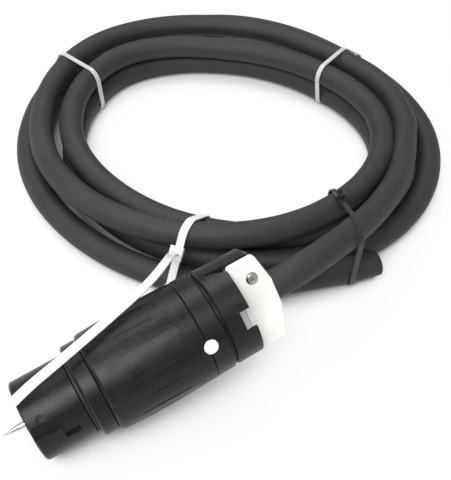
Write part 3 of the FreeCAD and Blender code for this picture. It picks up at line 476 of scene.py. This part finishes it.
# %% Where the coil passes eight bearings
CABLE_DIAMETER = 0.023
BEARINGS = 8
REACH = [
    (0.1985, 0.1900, 0.1990, 0.2160, 0.2210, 0.1950, 0.2010, 0.1960),
    (0.1690, 0.1570, 0.1525, 0.1610, 0.1379, 0.1328, 0.1506, 0.1640),
    (0.1535, 0.1455, 0.1536, 0.1612, 0.1287, 0.1276, 0.1502, 0.1600),
    (0.1715, 0.1750, 0.1828, 0.1990, 0.1770, 0.1630, 0.1770),
]
LOW = 0.0132
LAYER = 0.0236
CLIMB = {1.875: 0.0015, 2: 0.0165, 2.125: 0.0215, 2.875: 0.0275, 3: 0.0316, 3.125: 0.0285}
CUT_TURN = -0.085
CUT_REACH = 0.211

sides = [(CUT_TURN, CUT_REACH, LOW)]
for turn, reaches in enumerate(REACH):
    for step, reach in enumerate(reaches):
        passed = turn + step / BEARINGS
        rise = CLIMB.get(passed, LAYER if passed > 2 else 0.0)
        sides.append((passed, reach, LOW + rise))
print("sides passed", len(sides))

# %% [markdown]
# A side needs a direction as well as a place. It follows from the two sides next to it: their reach says
# how far the cable drifts outwards, and their height how fast it climbs. At a crest or a hollow it must not
# climb at all, or the curve would swing past it. The last direction is given, to aim at the clamp.

# %% Place and direction at each side
END_LEAN = math.radians(10.0)


def bearing_of(turn):
    """The angle of a turn. Turn 0 is the coil's front side, and the cable runs on clockwise."""
    return math.radians(-90 - 360 * turn)


def coil_place(turn, reach, height):
    """A point of the coil."""
    angle = bearing_of(turn)
    return Vector((reach * math.cos(angle), reach * math.sin(angle), height))


def coil_direction(i):
    """The cable's direction at one side. It climbs there only between a lower and a higher neighbour."""
    before, (turn, reach, height), after = sides[max(i - 1, 0)], sides[i], sides[min(i + 1, len(sides) - 1)]
    turns = after[0] - before[0]
    angle = bearing_of(turn)
    outward = Vector((math.cos(angle), math.sin(angle), 0.0))
    onward = Vector((math.sin(angle), -math.cos(angle), 0.0))
    way = onward * 2 * math.pi * reach + outward * (after[1] - before[1]) / turns
    if (after[2] - height) * (height - before[2]) > 0:
        way.z = (after[2] - before[2]) / turns
    return way.normalized()


stops = [coil_place(*side) for side in sides]
ways = [coil_direction(i) for i in range(len(sides))]
ways[-1] = Vector((-math.sin(END_LEAN), -math.cos(END_LEAN), 0.0))
print("first place", [round(v, 3) for v in stops[0]], "last place", [round(v, 3) for v in stops[-1]])

# %% [markdown]
# Between two sides the cable bends evenly. A cubic through both sides, with both directions, does that when
# its handles have the length that suits an arc of the same turn. Two places on each eighth are taken, and
# because a quadratic NURBS curve passes inside its control points, each place moves outwards from the middle
# of its bend by what the curve would lose.

# %% Lay out the coil's points
POINTS_PER_TURN = 16


def bend(i, share):
    """A place between side i and the next, on a cubic with arc-like handles."""
    start, stop = stops[i], stops[i + 1]
    turned = ways[i].angle(ways[i + 1])
    handle = (stop - start).length / (3 * math.cos(turned / 4) ** 2)
    one, two = start + ways[i] * handle, stop - ways[i + 1] * handle
    rest = 1 - share
    return start * rest ** 3 + one * 3 * share * rest ** 2 + two * 3 * share ** 2 * rest + stop * share ** 3


places = [stops[0]]
for i in range(len(stops) - 1):
    count = max(1, round(POINTS_PER_TURN * (sides[i + 1][0] - sides[i][0])))
    for k in range(1, count + 1):
        places.append(bend(i, k / count))

coil = [places[0] - ways[0] * CABLE_DIAMETER, places[0]]
for before, here, after in zip(places, places[1:], places[2:]):
    sag = (before + after) / 2 - here
    coil.append(here - sag / 4)
coil += [places[-1], places[-1] + ways[-1] * CABLE_DIAMETER]
print("points of the coil", len(coil))

# %% [markdown]
# The free stretch leaves the coil on its right side, dips round to the front over the cut end and runs
# straight into the clamp. Its points are few and listed. The last three lie on the connector's axis,
# so that the cable passes straight through the clamp.

# %% Lay out the free stretch
LEAVING_RUN = 0.043
LEAD_ROUTE = [Vector((0.148, -0.112, 0.043)), Vector((0.112, -0.172, 0.057))]
CLAMP_PLACES = (0.2305, 0.2, 0.1515)

lead = [coil[-1] + ways[-1] * LEAVING_RUN] + LEAD_ROUTE
cable_points = [on_coil(*point) for point in coil + lead]
cable_points += [on_connector(place) for place in CLAMP_PLACES]
print("cable points", len(cable_points))

# %% [markdown]
# A cable could be a mesh swept by hand, but a curve with a bevel stays round and keeps its width by itself.
# The heavy tie's tail will need the same kind of line, so one function makes an open NURBS curve. Its order
# is three, and it starts and ends on its end points. Both are set after the points, because a spline's
# order is cut down to the number of points that it has.

# %% Make the cable
def nurbs_line(name, control_points, resolution):
    """An open NURBS curve of order three that starts and ends on its end points."""
    curve = bpy.data.curves.new(name, "CURVE")
    curve.dimensions = "3D"
    curve.resolution_u = resolution
    spline = curve.splines.new("NURBS")
    spline.points.add(len(control_points) - 1)
    for point, position in zip(spline.points, control_points):
        point.co = (*position, 1.0)
    spline.order_u = 3
    spline.use_endpoint_u = True
    return bpy.data.objects.new(name, curve)


cable = nurbs_line("cable", cable_points, 8)
cable.data.bevel_depth = CABLE_DIAMETER / 2
cable.data.bevel_resolution = 10
cable.data.use_fill_caps = True
cable.data.materials.append(cable_rubber)
bpy.context.collection.objects.link(cable)
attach(cable, "connector")
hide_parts("cable_coil", "cable_lead")
print("cable's thickness", cable.data.bevel_depth * 2)

# %% [markdown]
# The ties have to find the cable, so its middle line is needed as plain points. Working the NURBS out again
# would be a second truth; a copy of the curve without its bevel, turned into a mesh, gives the very line
# that Blender draws.

# %% Measure the cable's middle line
def centre_line(curve_object):
    """The points of a curve's own line, from a copy with no bevel."""
    bare = curve_object.data.copy()
    bare.bevel_depth = 0.0
    bare_object = bpy.data.objects.new("bare_line", bare)
    mesh = bpy.data.meshes.new_from_object(bare_object)
    line = [vertex.co.copy() for vertex in mesh.vertices]
    bpy.data.objects.remove(bare_object)
    bpy.data.curves.remove(bare)
    bpy.data.meshes.remove(mesh)
    return line


cable_line = centre_line(cable)
cable_length = sum((b - a).length for a, b in zip(cable_line, cable_line[1:]))
print("cable length", round(cable_length, 3))

# %% [markdown]
# ## Cable ties
# A nylon tie is a flat strap pulled tight round the loops, a square head with a window, and a free tail.
# Its outline is what a rubber band would do: straight where it bridges two loops, round where it lies on
# one. That outline is found by asking, for each direction in the tie's plane, which loop reaches furthest
# and taking the point of its surface there.

# %% Find the loops in a tie's plane
TIE_THICKNESS = 0.0014
TIE_GAP = 0.0003
TIE_ANCHOR_REACH = 0.18
TIE_SPAN = 0.09
OUTLINE_STEPS = 160


def tie_plane(bearing, swing):
    """The anchor of a tie's plane and its directions across the loops and along them."""
    a = math.radians(bearing)
    b = math.radians(bearing + swing)
    anchor = on_coil(TIE_ANCHOR_REACH * math.cos(a), TIE_ANCHOR_REACH * math.sin(a), 0.0)
    across = COIL_TURN @ Vector((math.cos(b), math.sin(b), 0.0))
    beside = COIL_TURN @ Vector((-math.sin(b), math.cos(b), 0.0))
    return anchor, across, beside


def loops_in_plane(line, anchor, across, beside, width):
    """Where the cable passes the tie's plane, as (across, up) centres that cover the strap's width."""
    found = []
    for one, two in zip(line, line[1:]):
        before = (one - anchor).dot(beside)
        after = (two - anchor).dot(beside)
        passes = before <= 0 < after or after <= 0 < before
        if passes and abs((one - anchor).dot(across)) < TIE_SPAN:
            point = one.lerp(two, before / (before - after)) - anchor
            way = (two - one).normalized()
            straight = abs(way.dot(beside))
            aside = way - beside * way.dot(beside)
            stretch = (CABLE_DIAMETER / 2 * aside.length / (1 + straight) + width / 2) / straight
            for sign in (-1, 1):
                centre = point + aside * sign * stretch
                found.append((centre.dot(across), centre.z))
    return found


def tie_outline(centres):
    """The tight outline round the loops, as (across, up) points with their outward directions."""
    outline = []
    for k in range(OUTLINE_STEPS):
        a = 2 * math.pi * k / OUTLINE_STEPS
        out = (math.cos(a), math.sin(a))
        best = max(centres, key=lambda c: c[0] * out[0] + c[1] * out[1])
        reach = CABLE_DIAMETER / 2 + TIE_GAP
        outline.append(((best[0] + out[0] * reach, best[1] + out[1] * reach), out))
    return outline


print("outline steps", OUTLINE_STEPS)

# %% [markdown]
# A strap is a flat bar with slightly broken edges. An extruded curve would twist where its outline turns,
# so the section is placed at each point by hand, and neighbouring sections are joined with faces. A closed
# strap joins its last section to its first, and an open one gets two end faces.

# %% Build a strap
EDGE_SHARE = 0.25


def join_rings(mesh, rings, closed):
    """Faces between neighbouring rings of vertices, and end faces where the row is open."""
    corners = len(rings[0])
    for i in range(len(rings) if closed else len(rings) - 1):
        one, two = rings[i], rings[(i + 1) % len(rings)]
        for k in range(corners):
            mesh.faces.new((one[k], one[(k + 1) % corners], two[(k + 1) % corners], two[k]))
    if not closed:
        mesh.faces.new(rings[0][::-1])
        mesh.faces.new(rings[-1])


def strap_mesh(mesh, centres, outs, sides, width, closed):
    """A strap along points, with its outward and sideways directions, with narrow bevelled edges."""
    chamfer = TIE_THICKNESS * EDGE_SHARE
    half = width / 2
    section = [
        (-half, chamfer), (-half + chamfer, 0.0), (half - chamfer, 0.0), (half, chamfer),
        (half, TIE_THICKNESS - chamfer), (half - chamfer, TIE_THICKNESS),
        (-half + chamfer, TIE_THICKNESS), (-half, TIE_THICKNESS - chamfer),
    ]
    rings = []
    for centre, out, side in zip(centres, outs, sides):
        rings.append([mesh.verts.new(centre + side * across + out * rise) for across, rise in section])
    join_rings(mesh, rings, closed)


print("strap's broken edge", TIE_THICKNESS * EDGE_SHARE)

# %% [markdown]
# The head is a block with a flared rim and a window that the strap goes through. Cutting the window with a
# boolean would leave long thin faces, so the outline goes up the outside, over the rim and down into the
# window, as one row of rings.

# %% Build a head
HEAD_DEPTH = TIE_THICKNESS * 3
HEAD_HALF_SIDE = 0.85
HEAD_PROFILE = [
    (0.0, 0.9, 1.0), (0.25, 1.0, 1.0), (0.85, 1.0, 1.0), (1.0, 0.9, 1.0), (1.0, 0.5, 0.45), (0.6, 0.42, 0.45),
]


def head_mesh(mesh, base, way, side, along, width):
    """A tie's head. Its profile lists shares of the depth and of the half side, and how flat a ring is."""
    half = width * HEAD_HALF_SIDE
    rings = []
    for rise, share, flat in HEAD_PROFILE:
        level = base + way * HEAD_DEPTH * rise
        rings.append([
            mesh.verts.new(level + side * sx * half * share + along * sy * half * share * flat)
            for sx, sy in ((-1, -1), (1, -1), (1, 1), (-1, 1))])
    join_rings(mesh, rings, False)


print("depth of a head", HEAD_DEPTH)

# %% [markdown]
# A bmesh becomes a piece in the same few steps each time: outward normals, a mesh with its finish, an object
# that rides on a body. A tie is also shaded smooth, with its edges past 35 degrees kept sharp, and stands
# for a CAD node, which then isn't shown.

# %% Turn a mesh into a piece
SHARP_ANGLE = math.radians(35)


def mesh_piece(mesh, name, finish):
    """A piece that rides on the connector."""
    bmesh.ops.recalc_face_normals(mesh, faces=mesh.faces)
    data = bpy.data.meshes.new(name)
    mesh.to_mesh(data)
    mesh.free()
    data.materials.append(finish)
    piece = bpy.data.objects.new(name, data)
    bpy.context.collection.objects.link(piece)
    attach(piece, "connector")
    return piece


def tie_piece(mesh, name, finish, node):
    """A smooth-shaded piece of a tie that stands for a CAD node."""
    piece = mesh_piece(mesh, name, finish)
    piece.data.shade_smooth()
    piece.data.set_sharp_from_angle(angle=SHARP_ANGLE)
    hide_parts(node)
    print(name, "faces", len(piece.data.polygons))
    return piece


print("edges stay sharp from", round(math.degrees(SHARP_ANGLE)), "degrees")

# %% [markdown]
# Each tie is described by where it crosses the coil, how far its plane swings from straight across, the
# angle at which its head sits on the outline and how far the head slid along it. A trimmed tie keeps a stub
# of its tail. The heads of the two thin ties sit on the outer side, low down, where the coil hides them.

# %% Make the four ties
HEAVY_WIDTH = 0.0070
CLEAR_WIDTH = 0.0048
BLACK_WIDTH = 0.0046
STUB_LENGTH = 0.003


def make_tie(name, finish, bearing, swing, width, head_at, slide=0.0, stub=STUB_LENGTH):
    """A tie: a strap round the loops, its head, and what is left of a cut tail."""
    anchor, across, beside = tie_plane(bearing, swing)
    centres = loops_in_plane(cable_line, anchor, across, beside, width)
    outline = tie_outline(centres)
    up = Vector((0, 0, 1))
    mesh = bmesh.new()
    places = [anchor + across * p[0] + up * p[1] for p, out in outline]
    outs = [across * out[0] + up * out[1] for p, out in outline]
    strap_mesh(mesh, places, outs, [beside] * len(places), width, True)
    a = math.radians(head_at)
    way = across * math.cos(a) + up * math.sin(a)
    along = across * math.sin(a) - up * math.cos(a)
    best = max(centres, key=lambda c: c[0] * math.cos(a) + c[1] * math.sin(a))
    base = anchor + across * best[0] + up * best[1]
    base += way * (CABLE_DIAMETER / 2 + TIE_GAP + TIE_THICKNESS / 2) + along * slide
    head_mesh(mesh, base, way, beside, along, width)
    if stub:
        rises = (HEAD_DEPTH / 2, HEAD_DEPTH, HEAD_DEPTH + stub)
        stub_line = [base + way * rise - along * TIE_THICKNESS / 2 for rise in rises]
        strap_mesh(mesh, stub_line, [along] * 3, [beside] * 3, width, False)
    return tie_piece(mesh, name, finish, name.replace("_piece", "")), base, way


heavy_tie, heavy_head, heavy_way = make_tie(
    "heavy_tie_piece", white_tie_nylon, bearing=-101.2, swing=-13.7,
    width=HEAVY_WIDTH, head_at=44.0, slide=0.016, stub=0.0)
left_tie = make_tie(
    "clear_tie_left_piece", clear_tie_nylon, bearing=151.5, swing=-14.0,
    width=CLEAR_WIDTH, head_at=325.0)[0]
right_tie = make_tie(
    "clear_tie_right_piece", clear_tie_nylon, bearing=42.0, swing=11.0,
    width=CLEAR_WIDTH, head_at=332.0)[0]
black_tie = make_tie(
    "black_tie_piece", black_tie_nylon, bearing=-56.9, swing=-22.5,
    width=BLACK_WIDTH, head_at=111.5, slide=0.017)[0]
print("heavy tie's head", [round(v, 4) for v in COIL_TURN.transposed() @ (heavy_head - COIL_CENTRE)])

# %% [markdown]
# The heavy tie was never trimmed. Its tail springs out of the head, passes over the grip and comes down
# along it. A NURBS curve through a few places gives its middle line. The strap follows that line, with its
# flat side turned as the head turns it.

# %% The heavy tie's long tail
TAIL_ROUTE = [
    (-0.0440, -0.2250, 0.0740), (-0.0560, -0.2640, 0.0880), (-0.0785, -0.2940, 0.0890),
    (-0.1125, -0.3280, 0.0810), (-0.1330, -0.3460, 0.0750), (-0.1440, -0.3550, 0.0675),
]
TAIL_SIDE = COIL_TURN @ Vector((-1.0, 0.3, 0.0))
IN_THE_HEAD = 0.002
OUT_OF_THE_HEAD = 0.012

tail_start = [heavy_head + heavy_way * run for run in (IN_THE_HEAD, OUT_OF_THE_HEAD)]
tail_object = nurbs_line("tail_line", tail_start + [on_coil(*point) for point in TAIL_ROUTE], 6)
tail_line = centre_line(tail_object)
tail_curve = tail_object.data
bpy.data.objects.remove(tail_object)
bpy.data.curves.remove(tail_curve)

runs = [(two - one).normalized() for one, two in zip(tail_line, tail_line[1:])]
runs.append(runs[-1])
across_tail = [(TAIL_SIDE - run * TAIL_SIDE.dot(run)).normalized() for run in runs]
out_of_tail = [side.cross(run) for side, run in zip(across_tail, runs)]
underside = [point - out * TIE_THICKNESS / 2 for point, out in zip(tail_line, out_of_tail)]
mesh = bmesh.new()
strap_mesh(mesh, underside, out_of_tail, across_tail, HEAVY_WIDTH, False)
tie_piece(mesh, "heavy_tie_tail", white_tie_nylon, "heavy_tie")
print("points along the tail", len(tail_line))

# %% [markdown]
# ## The cut end
# The far end of the cable is cut square. Inside the jacket lie four insulated cores with strands of copper.
# They stand out of the cut by a hair, as a saw leaves them. A texture could paint them on the end face, but
# the strands catch the light one by one, so each is a short rod that starts just inside the cut.

# %% Find the cut and build a rod
INSIDE_THE_CUT = 0.0005

cut = cable_points[0]
cut_way = (cable_points[0] - cable_points[1]).normalized()
cut_side = cut_way.cross(Vector((0, 0, 1))).normalized()
cut_up = cut_side.cross(cut_way)


def from_cut(angle, reach):
    """An offset across the cut, at an angle round the cable's middle."""
    return (cut_side * math.cos(angle) + cut_up * math.sin(angle)) * reach


def short_rod(mesh, centre, radius, reach, corners):
    """A short rod that stands out of the cut, with its end faces."""
    rings = []
    for run in (-INSIDE_THE_CUT, reach):
        rings.append([
            mesh.verts.new(centre + from_cut(2 * math.pi * k / corners, radius) + cut_way * run)
            for k in range(corners)])
    join_rings(mesh, rings, False)


print("cut at", [round(v, 3) for v in cut])

# %% [markdown]
# The insulation of a core is one rod, and its nineteen strands are a rod in the middle with rings of six
# and twelve round it. The strands stand out a little further than the insulation.

# %% Cores and strands at the cut
CORE_OFFSET = 0.0058
CORE_RADIUS = 0.0036
CORE_STANDS_OUT = 0.0006
STRAND_RADIUS = 0.00042
STRANDS_STAND_OUT = 0.0009
STRAND_RINGS = ((0.0, 1), (0.0009, 6), (0.0018, 12))

for number, core in enumerate(core_finishes):
    centre = cut + from_cut(math.radians(45 + 90 * number), CORE_OFFSET)
    insulation = bmesh.new()
    short_rod(insulation, centre, CORE_RADIUS, CORE_STANDS_OUT, 24)
    strands = bmesh.new()
    for ring, count in STRAND_RINGS:
        for k in range(count):
            short_rod(strands, centre + from_cut(2 * math.pi * k / count, ring), STRAND_RADIUS,
                      STRANDS_STAND_OUT, 8)
    mesh_piece(insulation, "cut_" + core + "_insulation", core_finishes[core])
    mesh_piece(strands, "cut_" + core + "_strands", copper)

# %% [markdown]
# The cable is stiff: a cable this thick keeps wide bends. The line above is about a hundredth shorter than
# the real cable, because its turns were drawn in a little to lie as they do in the photograph.

print("cord declared, its line is", round(cable_length, 3), "m long")

# %% [markdown]
# ## Floor
# The object lies on a white floor that runs out of the picture. With light alone, a floor as white as the
# photograph's would need lamps that wash out the black cable. So the floor glows: where the camera or a
# shiny surface sees it, part of its shading is plain white. The glow has to give way near the object, or
# there would be no shadow. The Ambient Occlusion node says how open each place of the floor is. That sets
# the share of the glow, and it also paints shade: under the cable, under the connector and in the slots
# between loops, it darkens the paper's colour towards a near-black tone.

# %% The floor and its paper
FLOOR_HALF = 6.0
UNDER_THE_OBJECT = -0.0004
OPENNESS_REACH = 0.07
GLOW_SHARE = 0.8
# The dark tone of the painted shade, which the paper's colour drops to where the floor is closed in.
PAINTED_SHADE_TONE = 0.03
PAPER_TONE = 0.86

corners = [(-FLOOR_HALF, -FLOOR_HALF, 0), (FLOOR_HALF, -FLOOR_HALF, 0), (FLOOR_HALF, FLOOR_HALF, 0),
           (-FLOOR_HALF, FLOOR_HALF, 0)]
floor_mesh = bpy.data.meshes.new("floor")
floor_mesh.from_pydata(corners, [], [(0, 1, 2, 3)])
floor = bpy.data.objects.new("floor", floor_mesh)
floor.location.z = UNDER_THE_OBJECT
bpy.context.collection.objects.link(floor)
paper, tree, shader = start_material("white_paper")
shader.inputs["Roughness"].default_value = 0.9
glow = add_node(tree, "ShaderNodeEmission", Strength=1.0)
seen = tree.nodes.new("ShaderNodeLightPath")
seen_or_shiny = add_node(tree, "ShaderNodeMath", {"operation": "MAXIMUM"})
seen_any = add_node(tree, "ShaderNodeMath", {"operation": "MAXIMUM"})
share = add_node(tree, "ShaderNodeMath", {"operation": "MULTIPLY"})
openness = add_node(tree, "ShaderNodeAmbientOcclusion", {"samples": 8}, Distance=OPENNESS_REACH)
open_share = ramp(tree, 0.3, 0.6, 0.0, GLOW_SHARE)
# Painted shade: where the floor is closed in, its base colour drops from the paper's tone towards the dark
# tone.
painted_shade_ramp = ramp(tree, 0.02, 0.22, PAINTED_SHADE_TONE, PAPER_TONE)
tone = tree.nodes.new("ShaderNodeCombineColor")
blend = tree.nodes.new("ShaderNodeMixShader")
output = tree.nodes["Material Output"]
join(
    tree,
    (seen.outputs["Is Camera Ray"], seen_or_shiny.inputs[0]),
    (seen.outputs["Is Glossy Ray"], seen_or_shiny.inputs[1]),
    (seen_or_shiny.outputs[0], seen_any.inputs[0]),
    (seen.outputs["Is Transmission Ray"], seen_any.inputs[1]),
    (seen_any.outputs[0], share.inputs[0]),
    (openness.outputs["AO"], open_share.inputs["Value"]),
    (openness.outputs["AO"], painted_shade_ramp.inputs["Value"]),
    (painted_shade_ramp.outputs["Result"], tone.inputs["Red"]),
    (painted_shade_ramp.outputs["Result"], tone.inputs["Green"]),
    (painted_shade_ramp.outputs["Result"], tone.inputs["Blue"]),
    (tone.outputs["Color"], shader.inputs["Base Color"]),
    (open_share.outputs["Result"], share.inputs[1]),
    (share.outputs[0], blend.inputs["Fac"]),
    (shader.outputs["BSDF"], blend.inputs[1]),
    (glow.outputs["Emission"], blend.inputs[2]),
    (blend.outputs["Shader"], output.inputs["Surface"]),
)
floor_mesh.materials.append(paper)
print("floor finish", paper.name)

# %% [markdown]
# ## Light
# The photograph has soft light from all sides, strongest on the faces that look at the camera, with shadows
# that hug the object. A white world gives the even part. One large soft lamp stands above and behind, a
# weak one fills from the left, and the strongest stands high in front. The view transform is Standard, so
# that white stays white.

# %% World and lamps
WORLD_STRENGTH = 0.45

world = bpy.data.worlds.new("studio")
bpy.context.scene.world = world
world.use_nodes = True
background = world.node_tree.nodes["Background"]
background.inputs["Color"].default_value = (1, 1, 1, 1)
background.inputs["Strength"].default_value = WORLD_STRENGTH


def area_lamp(name, position, target, size, power):
    """A square soft lamp that looks at a point, with its size in metres and its power in watts."""
    data = bpy.data.lights.new(name, "AREA")
    data.shape = "SQUARE"
    data.size = size
    data.energy = power
    lamp = bpy.data.objects.new(name, data)
    lamp.location = position
    lamp.rotation_euler = (Vector(target) - Vector(position)).to_track_quat("-Z", "Y").to_euler()
    bpy.context.collection.objects.link(lamp)


middle = on_coil(0, -0.08, 0.03)
area_lamp("top_lamp", on_coil(-0.3, 0.5, 1.3), middle, 0.9, 9)
area_lamp("left_lamp", on_coil(-1.1, -0.5, 0.8), middle, 0.8, 4)
area_lamp("front_lamp", on_coil(-0.25, -1.0, 1.25), middle, 0.8, 17)
bpy.context.scene.view_settings.view_transform = "Standard"
